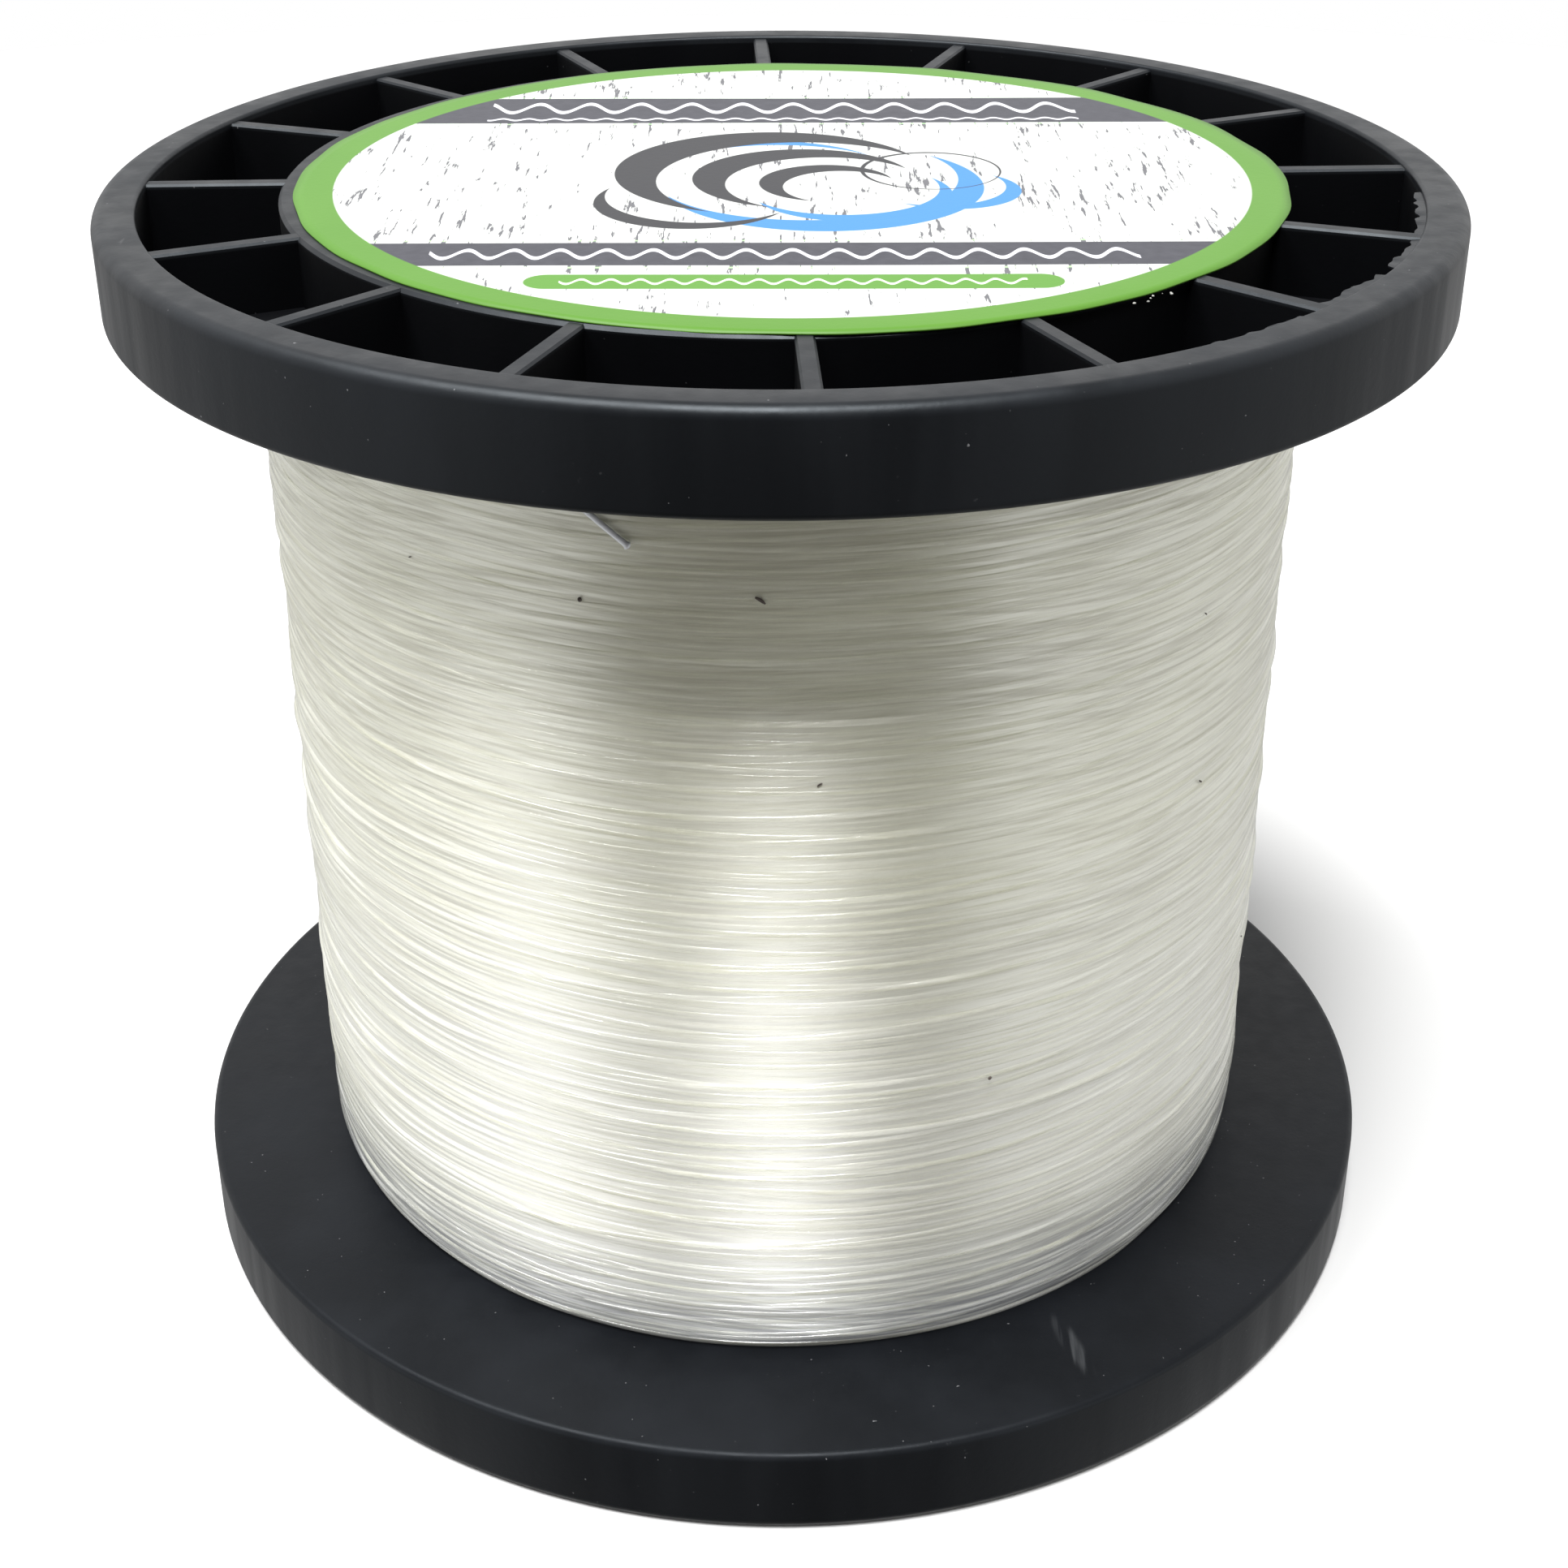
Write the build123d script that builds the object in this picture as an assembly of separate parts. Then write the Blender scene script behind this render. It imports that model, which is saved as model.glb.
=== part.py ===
from build123d import *
import os
from math import cos, radians, sin

# A bulk spool of monofilament fishing line, standing on its bottom flange.
# Millimetres, +Z up along the spool's axis. The origin is the centre of the face it stands on.

# Overall size
FLANGE_RADIUS = 62.5
SPOOL_HEIGHT = 108.0
FLANGE_THICKNESS = 8.9

# Flange moulding: one flat web on the line side, stiffened by a rim, rings and ribs on the outer side
WEB_THICKNESS = 2.4
RIM_WIDTH = 3.9
RIM_OUTER_ROUND = 1.1
RIM_INNER_ROUND = 0.7
RIM_LIP_ROUND = 0.35
RIB_DROP = 0.3
RIB_COUNT = 16
RIB_WIDTH = 1.6
TOP_RIB_PHASE = 2.24
BOTTOM_RIB_PHASE = 11.25
HUB_RING_RADIUS = 46.1
HUB_RING_WIDTH = 3.7
CORE_RING_RADIUS = 25.6
CORE_RING_WIDTH = 2.2
INNER_RIB_COUNT = 8

# Spindle bore and its boss
BORE_RADIUS = 8.0
BOSS_RADIUS = 12.5
BOSS_REACH = 6.0

# Barrel, and the collar on each flange that holds it
BARREL_RADIUS = 23.0
BARREL_WALL = 2.0
COLLAR_WALL = 1.8
COLLAR_REACH = 8.0
COLLAR_CLEARANCE = 0.05
COLLAR_LEAD_IN = 0.6

# Line
LINE_DIAMETER = 0.6
WINDING_RADIUS = 49.4
WINDING_ROUND = 0.9

# Patch of tape that holds the first turn of line on the barrel
TAPE_THICKNESS = 0.15
TAPE_WIDTH = 18.0
TAPE_LENGTH = 24.0
TAPE_MIDDLE_Z = 30.0

# Printed label, stuck on the hub ring and the inner ribs, a little off centre
LABEL_RADIUS = 45.7
LABEL_THICKNESS = 0.2
LABEL_OFFSET = (1.05, -0.3)

# Loose end of the line, on the surface of the winding: clockwise angle from the front, height
# and how far its middle stands off the winding
TAIL_STATIONS = [(-26.0, 99.1, 0.34), (-21.8, 96.1, 0.34), (-17.6, 93.4, 0.38), (-13.5, 90.9, 0.56)]
TAIL_BEND_RADIUS = 12.0
TAIL_BEAD_RADIUS = 0.5

# Heights that follow
WEB_OUTER_Z = FLANGE_THICKNESS - WEB_THICKNESS
WINDING_BOTTOM = FLANGE_THICKNESS
WINDING_TOP = SPOOL_HEIGHT - FLANGE_THICKNESS


def cylinder(radius, low, high):
    """Solid cylinder on the spool's axis between two heights."""
    return Pos(0, 0, low) * Cylinder(radius, high - low, align=(Align.CENTER, Align.CENTER, Align.MIN))


def ring(outer, inner, low, high):
    """Plain ring on the spool's axis between two heights."""
    return cylinder(outer, low, high) - cylinder(inner, low - 1, high + 1)


def circles_at(shape, radius, height):
    """The circular edges of a shape with a given radius at a given height."""
    wanted = []
    for edge in shape.edges().filter_by(GeomType.CIRCLE):
        centre = edge.arc_center
        if abs(edge.radius - radius) < 0.01 and abs(centre.Z - height) < 0.01:
            wanted.append(edge)
    return wanted


def rim():
    """Outer wall of a flange, with soft moulded edges. It stands on its outer face, at z = 0."""
    inner = FLANGE_RADIUS - RIM_WIDTH
    wall = ring(FLANGE_RADIUS, inner, 0, FLANGE_THICKNESS)
    wall = fillet(circles_at(wall, FLANGE_RADIUS, 0), RIM_OUTER_ROUND)
    wall = fillet(circles_at(wall, FLANGE_RADIUS, FLANGE_THICKNESS), RIM_INNER_ROUND)
    return fillet(circles_at(wall, inner, 0), RIM_LIP_ROUND)


def ribs(count, phase, start, end):
    """Radial ribs between two radii, level with the rings and rooted in the web."""
    depth = WEB_OUTER_Z - RIB_DROP
    bar = Box(end - start, RIB_WIDTH, depth, align=(Align.MIN, Align.CENTER, Align.MIN))
    bar = Pos(start, 0, RIB_DROP) * bar
    fan = []
    for k in range(count):
        fan.append(Rot(0, 0, phase - 90 + k * 360 / count) * bar)
    return fan


def collar():
    """Ring on the line side of a flange that the barrel slides over, with a lead-in chamfer."""
    outer = BARREL_RADIUS - BARREL_WALL - COLLAR_CLEARANCE
    end = FLANGE_THICKNESS + COLLAR_REACH
    body = ring(outer, outer - COLLAR_WALL, FLANGE_THICKNESS - 0.5, end)
    return chamfer(circles_at(body, outer, end), COLLAR_LEAD_IN)


def flange(rib_phase):
    """One flange moulding with its outer face down at z = 0 and the line side up."""
    inner_wall = FLANGE_RADIUS - RIM_WIDTH
    body = rim()
    body += cylinder(inner_wall + 1, WEB_OUTER_Z, FLANGE_THICKNESS)
    body += ring(HUB_RING_RADIUS, HUB_RING_RADIUS - HUB_RING_WIDTH, RIB_DROP, FLANGE_THICKNESS - 0.5)
    body += ring(CORE_RING_RADIUS, CORE_RING_RADIUS - CORE_RING_WIDTH, RIB_DROP, FLANGE_THICKNESS - 0.5)
    for rib in ribs(RIB_COUNT, rib_phase, CORE_RING_RADIUS - 1, inner_wall + 1):
        body += rib
    for rib in ribs(INNER_RIB_COUNT, rib_phase, BOSS_RADIUS - 1, CORE_RING_RADIUS - 1):
        body += rib
    body += cylinder(BOSS_RADIUS, RIB_DROP, FLANGE_THICKNESS + BOSS_REACH)
    body += collar()
    return body - cylinder(BORE_RADIUS, -1, SPOOL_HEIGHT)


def bottom_flange():
    """The flange that the spool stands on."""
    return flange(BOTTOM_RIB_PHASE)


def top_flange():
    """The same moulding turned over on the other end of the barrel."""
    return Pos(0, 0, SPOOL_HEIGHT) * Rot(180, 0, 0) * flange(-TOP_RIB_PHASE + 180)


def barrel():
    """Tube between the two webs that the line is wound on."""
    return ring(BARREL_RADIUS, BARREL_RADIUS - BARREL_WALL, WINDING_BOTTOM, WINDING_TOP)


def anchor_tape():
    """Curved patch of tape on the barrel under the first turns."""
    low = TAPE_MIDDLE_Z - TAPE_WIDTH / 2
    skin = ring(BARREL_RADIUS + TAPE_THICKNESS, BARREL_RADIUS, low, low + TAPE_WIDTH)
    window = Pos(BARREL_RADIUS, 0, TAPE_MIDDLE_Z) * Box(BARREL_RADIUS, TAPE_LENGTH, TAPE_WIDTH + 2)
    return skin & window


def line_winding():
    """The wound pack of line as one body, from the barrel out to its last turns."""
    pack = ring(WINDING_RADIUS, BARREL_RADIUS, WINDING_BOTTOM, WINDING_TOP)
    pack = fillet(circles_at(pack, WINDING_RADIUS, WINDING_BOTTOM), WINDING_ROUND)
    pack = fillet(circles_at(pack, WINDING_RADIUS, WINDING_TOP), WINDING_ROUND)
    return pack - anchor_tape()


def tail_point(angle, height, stand_off):
    """Middle of the loose end at one station."""
    reach = WINDING_RADIUS + stand_off
    turn = radians(angle)
    return Vector(reach * sin(turn), -reach * cos(turn), height)


def line_tail():
    """Short loose end of the line below the top flange, with the bead left where it was cut."""
    points = []
    for station in TAIL_STATIONS:
        points.append(tail_point(*station))
    path = FilletPolyline(*points, radius=TAIL_BEND_RADIUS)
    section = Plane(origin=path @ 0, z_dir=path % 0) * Circle(LINE_DIAMETER / 2)
    tube = sweep(section, path=path)
    above_web = cylinder(FLANGE_RADIUS, WINDING_TOP, SPOOL_HEIGHT)
    return tube + Pos(*points[-1]) * Sphere(TAIL_BEAD_RADIUS) - above_web


def label():
    """Round film label over the middle of the top flange. It closes the upper end of the bore."""
    low = SPOOL_HEIGHT - RIB_DROP
    return Pos(*LABEL_OFFSET, 0) * cylinder(LABEL_RADIUS, low, low + LABEL_THICKNESS)


NODES = {
    "bottom_flange": bottom_flange,
    "top_flange": top_flange,
    "barrel": barrel,
    "anchor_tape": anchor_tape,
    "line_winding": line_winding,
    "line_tail": line_tail,
    "label": label,
}

os.makedirs("parts", exist_ok=True)
for name, make in NODES.items():
    export_step(make(), f"parts/{name}.step")
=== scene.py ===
import math

import bpy
import numpy as np
from mathutils import Matrix, Vector


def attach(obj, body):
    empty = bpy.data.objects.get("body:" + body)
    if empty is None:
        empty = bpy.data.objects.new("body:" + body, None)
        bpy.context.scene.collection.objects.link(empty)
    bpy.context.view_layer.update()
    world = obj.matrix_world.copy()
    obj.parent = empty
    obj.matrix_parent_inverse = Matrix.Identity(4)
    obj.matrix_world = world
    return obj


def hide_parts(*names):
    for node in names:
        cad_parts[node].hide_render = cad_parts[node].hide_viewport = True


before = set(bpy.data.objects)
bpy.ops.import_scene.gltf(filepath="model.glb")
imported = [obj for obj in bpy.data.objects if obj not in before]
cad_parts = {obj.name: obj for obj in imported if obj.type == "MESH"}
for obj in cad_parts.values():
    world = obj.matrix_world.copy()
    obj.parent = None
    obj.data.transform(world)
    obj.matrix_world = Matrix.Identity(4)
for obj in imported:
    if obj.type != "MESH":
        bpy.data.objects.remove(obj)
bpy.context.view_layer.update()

MM = 0.001
SEED = 20260

# Lengths are in millimetres, and Z runs up the spool from the floor. MM turns them into metres.

# Spool
FLANGE_RADIUS = 62.5
SPOOL_HEIGHT = 108.0
FLANGE_THICKNESS = 8.9
RIM_INNER_RADIUS = 58.6
RIM_OUTER_ROUND = 1.1
RIM_LINE_ROUND = 0.7
RIM_LIP_ROUND = 0.35
HUB_RING_RADIUS = 46.1
HUB_RING_WIDTH = 3.7
CORE_RING_RADIUS = 25.6
CORE_RING_WIDTH = 2.2
WEB_DEPTH = 6.5
RIB_DROP = 0.3
RIB_WIDTH = 1.6
RIB_COUNT = 16
INNER_RIB_COUNT = 8
TOP_RIB_PHASE = math.radians(2.24)
BOTTOM_RIB_PHASE = math.radians(11.25)
BORE_RADIUS = 8.0
BOSS_RADIUS = 12.5
BOSS_REACH = 6.0
COLLAR_RADIUS = 20.95
COLLAR_WALL = 1.8
COLLAR_REACH = 8.0
COLLAR_LEAD_IN = 0.6
FLANGE_SEGMENTS = 360
WINDING_BOTTOM = FLANGE_THICKNESS
WINDING_TOP = SPOOL_HEIGHT - FLANGE_THICKNESS

# Line. Strands rest on each other as if PRESSED_RADIUS thick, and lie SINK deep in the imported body.
LINE_RADIUS = 0.29
PRESSED_RADIUS = 0.08
SINK = 0.21
CORE_RADIUS = 48.75
CORE_BORE = 23.0
PASS_PITCHES = [0.55, 2.0, 6.0, 2.6, 7.5, 4.4, 9.0, 5.2, 6.8, 3.4]
CLOSE_PITCH = 0.8
GROOVE_PITCH = 4.0
SAG = 110.0

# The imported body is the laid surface, smoothed and a little lower, at every few rows.
FILL_BLUR = 0.45
FILL_DEPTH = 0.07
FILL_ROWS = 5

# The laid surface is a grid of COLUMNS round the winding by rows ROW_STEP apart.
COLUMNS = 240
ROW_STEP = 0.05
STEP_ANGLE = 2.0 * math.pi / COLUMNS

# A strand is a tube of TUBE_SIDES, in pieces small enough for the export's limit on triangles.
TUBE_SIDES = 6
PIECE_SAMPLES = 15500
CLOSE_PIECE_TURNS = 56

# Label
LABEL_RADIUS = 45.7
LABEL_CENTRE = (1.05, -0.3)
LABEL_TOP = 107.9
LABEL_THICKNESS = 0.17
LABEL_FIELD_RADIUS = 42.2
LABEL_RINGS = 46
LABEL_SEGMENTS = 256

# Scuff on the line side of the bottom flange: its middle, the way it runs, and its half length over width
SCUFF_MIDDLE = (27.2, -48.4)
SCUFF_RUN = (0.304, -0.953)
SCUFF_STRETCH = 4.3

# Floor
FLOOR_RADIUS = 600.0
FLOOR_SEGMENTS = 128


# ---------------------------------------------------------------- meshes

def mesh_object(name, points, faces, smooth=True):
    """Makes an object from points in millimetres."""
    mesh = bpy.data.meshes.new(name)
    mesh.from_pydata([tuple(p) for p in np.asarray(points) * MM], [], faces)
    mesh.validate()
    if smooth:
        mesh.shade_smooth()
    obj = bpy.data.objects.new(name, mesh)
    bpy.context.scene.collection.objects.link(obj)
    return obj


def quad_mesh_object(name, points, quads, caps):
    """Makes an object from large arrays of points and quads, plus a few cap polygons."""
    mesh = bpy.data.meshes.new(name)
    quads = np.asarray(quads, np.int32)
    loops = np.concatenate([quads.ravel()] + [np.asarray(c, np.int32) for c in caps])
    sizes = np.concatenate([np.full(len(quads), 4), [len(c) for c in caps]]).astype(np.int32)
    starts = np.concatenate([[0], np.cumsum(sizes)[:-1]]).astype(np.int32)
    mesh.vertices.add(len(points))
    mesh.vertices.foreach_set("co", (np.asarray(points) * MM).astype(np.float32).ravel())
    mesh.loops.add(len(loops))
    mesh.loops.foreach_set("vertex_index", loops)
    mesh.polygons.add(len(sizes))
    mesh.polygons.foreach_set("loop_start", starts)
    mesh.update(calc_edges=True)
    mesh.validate()
    mesh.shade_smooth()
    obj = bpy.data.objects.new(name, mesh)
    bpy.context.scene.collection.objects.link(obj)
    return obj


def tube_arrays(centres, out_dirs, up_dirs, radii, sides):
    """Points and quads of a tube whose rings are spanned by the two given directions."""
    count = len(centres)
    turn = np.arange(sides) * 2.0 * math.pi / sides
    ring_out = out_dirs[:, None, :] * np.cos(turn)[None, :, None]
    ring_up = up_dirs[:, None, :] * np.sin(turn)[None, :, None]
    points = centres[:, None, :] + (ring_out + ring_up) * radii[:, None, None]
    a = np.arange(count - 1)[:, None] * sides + np.arange(sides)[None, :]
    b = np.arange(count - 1)[:, None] * sides + (np.arange(sides)[None, :] + 1) % sides
    quads = np.stack([a, a + sides, b + sides, b], -1).reshape(-1, 4)
    first = list(range(sides))
    last = [(count - 1) * sides + i for i in reversed(range(sides))]
    return points.reshape(-1, 3), quads, [first, last]


def blur(values, sigma):
    """Gaussian smoothing along a path, with the ends held."""
    reach = int(3 * sigma) + 1
    taps = np.exp(-0.5 * (np.arange(-reach, reach + 1) / sigma) ** 2)
    padded = np.pad(values, reach, mode="edge")
    return np.convolve(padded, taps / taps.sum(), mode="valid")


# ---------------------------------------------------------------- node helpers

class Net:
    """A small helper for building shader nodes."""

    def __init__(self, tree):
        self.tree = tree
        self.nodes = tree.nodes
        self.nodes.clear()

    def put(self, socket, value):
        """Links a socket to another node's output, or sets its value."""
        if isinstance(value, bpy.types.NodeSocket):
            self.tree.links.new(value, socket)
        elif value is not None:
            socket.default_value = value

    def node(self, kind, **inputs):
        made = self.nodes.new(kind)
        for name, value in inputs.items():
            self.put(made.inputs[name.replace("_", " ")], value)
        return made

    def math(self, operation, a, b=None):
        made = self.nodes.new("ShaderNodeMath")
        made.operation = operation
        self.put(made.inputs[0], a)
        self.put(made.inputs[1], b)
        return made.outputs[0]

    def ramp(self, value, low, high, out_low=0.0, out_high=1.0):
        """A smooth step from out_low to out_high as the value goes from low to high."""
        made = self.nodes.new("ShaderNodeMapRange")
        made.interpolation_type = "SMOOTHSTEP"
        self.put(made.inputs["Value"], value)
        self.put(made.inputs["From Min"], low)
        self.put(made.inputs["From Max"], high)
        self.put(made.inputs["To Min"], out_low)
        self.put(made.inputs["To Max"], out_high)
        return made.outputs["Result"]

    def mix(self, factor, a, b):
        made = self.nodes.new("ShaderNodeMix")
        made.data_type = "RGBA"
        self.put(made.inputs[0], factor)
        self.put(made.inputs[6], a)
        self.put(made.inputs[7], b)
        return made.outputs[2]

    def object_point(self, scale):
        """The point on the object, in metres, times a scale on each axis."""
        coord = self.nodes.new("ShaderNodeTexCoord")
        made = self.nodes.new("ShaderNodeMapping")
        self.put(made.inputs["Vector"], coord.outputs["Object"])
        made.inputs["Scale"].default_value = scale
        return made.outputs["Vector"]

    def noise(self, vector, scale, detail=3.0, rough=0.5):
        made = self.nodes.new("ShaderNodeTexNoise")
        self.put(made.inputs["Vector"], vector)
        made.inputs["Scale"].default_value = scale
        made.inputs["Detail"].default_value = detail
        made.inputs["Roughness"].default_value = rough
        return made.outputs["Fac"]

    def bump(self, height, strength, distance):
        made = self.nodes.new("ShaderNodeBump")
        made.inputs["Strength"].default_value = strength
        made.inputs["Distance"].default_value = distance
        self.put(made.inputs["Height"], height)
        return made.outputs["Normal"]

    def principled(self, **inputs):
        """A Principled shader joined to the material's output."""
        shader = self.node("ShaderNodeBsdfPrincipled", **inputs)
        out = self.nodes.new("ShaderNodeOutputMaterial")
        self.tree.links.new(shader.outputs["BSDF"], out.inputs["Surface"])
        return shader


def new_material(name):
    material = bpy.data.materials.new(name)
    material.use_nodes = True
    return material, Net(material.node_tree)


# ---------------------------------------------------------------- materials

def black_plastic(name, base, rough_low, rough_high):
    """Injection-moulded black plastic: satin, finely mottled, with faint flow marks and dust."""
    material, net = new_material(name)

    # Mottle, flow marks, fine scratches and dust.
    fine = net.noise(net.object_point((1.0, 1.0, 1.0)), 1400.0, 4.0, 0.6)
    broad = net.noise(net.object_point((1.0, 1.0, 0.25)), 90.0, 3.0, 0.5)
    streak = net.noise(net.object_point((1.0, 1.0, 0.06)), 420.0, 2.0, 0.5)
    scratch = net.noise(net.object_point((1.0, 0.12, 1.0)), 900.0, 2.0, 0.7)
    rough_mix = net.math("ADD", net.math("MULTIPLY", broad, 0.5), net.math("MULTIPLY", streak, 0.5))
    roughness = net.ramp(rough_mix, 0.3, 0.7, rough_low, rough_high)
    speck = net.ramp(net.noise(net.object_point((1.0, 1.0, 1.0)), 2300.0, 1.0, 0.4), 0.80, 0.84)
    mark = net.ramp(scratch, 0.74, 0.80, 0.0, 0.35)
    pale = net.math("MAXIMUM", net.math("MULTIPLY", speck, 0.5), net.math("MULTIPLY", mark, 0.2))
    tint = net.mix(net.ramp(broad, 0.3, 0.7), base, [c * 1.5 for c in base[:3]] + [1.0])
    colour = net.mix(pale, tint, (0.16, 0.16, 0.165, 1.0))

    # Painted shade: the pockets between the ribs are painted darker, as the shade deep in them, and are also
    # rougher.
    split = net.nodes.new("ShaderNodeSeparateXYZ")
    net.put(split.inputs[0], net.object_point((1000.0, 1000.0, 1000.0)))
    inside = disc_mask(net, split.outputs["X"], split.outputs["Y"], 0.0, 0.0, RIM_INNER_RADIUS + 0.1, 0.1)
    upper = band_mask(net, split.outputs["Z"], SPOOL_HEIGHT - WEB_DEPTH - 0.3, SPOOL_HEIGHT - 0.7, 0.15)
    lower = band_mask(net, split.outputs["Z"], 0.7, WEB_DEPTH + 0.3, 0.15)
    pocket = net.math("MULTIPLY", inside, net.math("MAXIMUM", upper, lower))
    colour = net.mix(net.math("MULTIPLY", pocket, 0.75), colour, (0.0004, 0.0004, 0.0005, 1.0))
    roughness = net.math("ADD", roughness, net.math("MULTIPLY", pocket, 0.30))

    # A long pale scuff on the line side of the bottom flange, broken up by a fine grain.
    run_x, run_y = SCUFF_RUN
    east = net.math("SUBTRACT", split.outputs["X"], SCUFF_MIDDLE[0])
    north = net.math("SUBTRACT", split.outputs["Y"], SCUFF_MIDDLE[1])
    length = net.math("ADD", net.math("MULTIPLY", east, run_x), net.math("MULTIPLY", north, run_y))
    width = net.math("SUBTRACT", net.math("MULTIPLY", north, run_x), net.math("MULTIPLY", east, run_y))
    spot = disc_mask(net, net.math("DIVIDE", length, SCUFF_STRETCH), width, 0.0, 0.0, 0.85, 0.35)
    on_face = band_mask(net, split.outputs["Z"], FLANGE_THICKNESS - 0.3, FLANGE_THICKNESS + 0.3, 0.1)
    grain = net.ramp(net.noise(net.object_point((1.0, 0.10, 1.0)), 1100.0, 2.0, 0.6), 0.40, 0.78)
    scuff = net.math("MULTIPLY", net.math("MULTIPLY", spot, on_face), grain)
    colour = net.mix(net.math("MULTIPLY", scuff, 0.15), colour, (0.20, 0.21, 0.22, 1.0))

    # Painted shade: the pockets and the line side of the bottom flange are given a darker reflection tint,
    # so they reflect less than the rim.
    painted_shade_sheen = net.mix(pocket, (0.86, 0.94, 1.0, 1.0), (0.10, 0.10, 0.11, 1.0))
    painted_shade_sheen = net.mix(on_face, painted_shade_sheen, (0.40, 0.43, 0.46, 1.0))
    height = net.math("ADD", net.math("MULTIPLY", fine, 0.35), net.math("MULTIPLY", broad, 1.0))
    normal = net.bump(height, 0.22, 0.0002)
    shader = net.principled(Base_Color=colour, Roughness=roughness, Normal=normal, Specular_Tint=painted_shade_sheen)
    shader.inputs["Specular IOR Level"].default_value = 0.19
    return material


def nylon(name, colour, deep, spread):
    """Clear monofilament. With spread above 0 it is line in bulk: light soaks through it, so it is shaded
    more by the outward direction of the whole winding than by its own surface, and reflects strongly."""
    material, net = new_material(name)
    split = net.nodes.new("ShaderNodeSeparateXYZ")
    net.put(split.inputs[0], net.object_point((1.0, 1.0, 1.0)))

    # Two families of streaks along the turns, which sway up and down round the winding.
    families = []
    for sway_scale, reach in ((13.0, 0.010), (19.0, 0.012)):
        sway = net.math("SUBTRACT", net.noise(net.object_point((1.0, 1.0, 1.7)), sway_scale, 1.0, 0.4), 0.5)
        level = net.math("ADD", split.outputs["Z"], net.math("MULTIPLY", sway, reach))
        place = net.nodes.new("ShaderNodeCombineXYZ")
        net.put(place.inputs["X"], split.outputs["X"])
        net.put(place.inputs["Y"], split.outputs["Y"])
        net.put(place.inputs["Z"], net.math("MULTIPLY", level, 30.0))
        families.append(net.noise(place.outputs[0], 62.0 + sway_scale, 3.0, 0.6))
    streak = net.math("MULTIPLY", net.math("ADD", families[0], families[1]), 0.5)
    cloud = net.noise(net.object_point((1.0, 1.0, 3.0)), 38.0, 2.0, 0.5)
    blend = net.math("ADD", net.math("MULTIPLY", streak, 0.75), net.math("MULTIPLY", cloud, 0.25))
    tint = net.mix(net.ramp(blend, 0.38, 0.62), deep, colour)

    # Painted light: whiter towards the bottom, in colour and reflection tint, where the lamps light the
    # turns.
    painted_lit_whitening = net.ramp(split.outputs["Z"], 30.0 * MM, 75.0 * MM, 0.5, 0.0)
    tint = net.mix(painted_lit_whitening, tint, (0.345, 0.347, 0.335, 1.0))
    # Painted reflection: darker where the bottom flange shows through the last turns, in colour and
    # reflection tint, standing in for the black flange seen through the clear line.
    edge = net.ramp(split.outputs["Z"], WINDING_BOTTOM * MM, (WINDING_BOTTOM + 15.0) * MM, 1.0, 0.0)
    under = net.math("MULTIPLY", edge, net.ramp(streak, 0.38, 0.62, 1.0, 0.5))
    tint = net.mix(under, tint, (0.05, 0.055, 0.07, 1.0))
    roughness = net.math("ADD", net.ramp(streak, 0.38, 0.62, 0.56, 0.41), net.math("MULTIPLY", under, 0.2))
    skin = net.mix(painted_lit_whitening, (1.0, 0.998, 0.958, 1.0), (1.0, 1.0, 1.0, 1.0))
    skin = net.mix(under, skin, (0.15, 0.17, 0.21, 1.0))
    skin = net.mix(net.ramp(streak, 0.38, 0.58, 0.45, 0.0), skin, (0.50, 0.48, 0.42, 1.0))
    shader = net.principled(Base_Color=tint, Roughness=roughness, Specular_Tint=skin)

    # In bulk, the shading normal leans on the outward direction of the winding.
    if spread > 0.0:
        outward = net.nodes.new("ShaderNodeVectorMath")
        outward.operation = "NORMALIZE"
        net.put(outward.inputs[0], net.object_point((1.0, 1.0, 0.0)))
        scaled = net.nodes.new("ShaderNodeVectorMath")
        scaled.operation = "SCALE"
        net.put(scaled.inputs[0], outward.outputs[0])
        scaled.inputs["Scale"].default_value = spread
        surface = net.nodes.new("ShaderNodeNewGeometry")
        total = net.nodes.new("ShaderNodeVectorMath")
        total.operation = "ADD"
        net.put(total.inputs[0], scaled.outputs[0])
        net.put(total.inputs[1], surface.outputs["Normal"])
        unit = net.nodes.new("ShaderNodeVectorMath")
        unit.operation = "NORMALIZE"
        net.put(unit.inputs[0], total.outputs[0])
        net.put(shader.inputs["Normal"], unit.outputs[0])

    # A tangent along the spool's axis draws the highlights out up and down the winding.
    upward = net.nodes.new("ShaderNodeCombineXYZ")
    upward.inputs["Z"].default_value = 1.0
    net.put(shader.inputs["Tangent"], upward.outputs[0])
    shader.inputs["IOR"].default_value = 5.2 if spread > 0.0 else 1.53
    shader.inputs["Anisotropic"].default_value = 0.97
    shader.inputs["Coat Weight"].default_value = 0.6
    shader.inputs["Coat Roughness"].default_value = 0.12
    shader.inputs["Coat IOR"].default_value = 1.53
    return material


def clear_strand(name, tint, milky):
    """A single clear line: light passes through it, with a faint milky body and a sharp skin."""
    material, net = new_material(name)
    streak = net.noise(net.object_point((1.0, 1.0, 30.0)), 70.0, 3.0, 0.6)
    colour = net.mix(net.ramp(streak, 0.36, 0.64), milky, tint)
    shader = net.principled(Base_Color=colour)
    shader.inputs["Transmission Weight"].default_value = 0.95
    shader.inputs["IOR"].default_value = 1.45
    shader.inputs["Roughness"].default_value = 0.14
    return material


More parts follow.
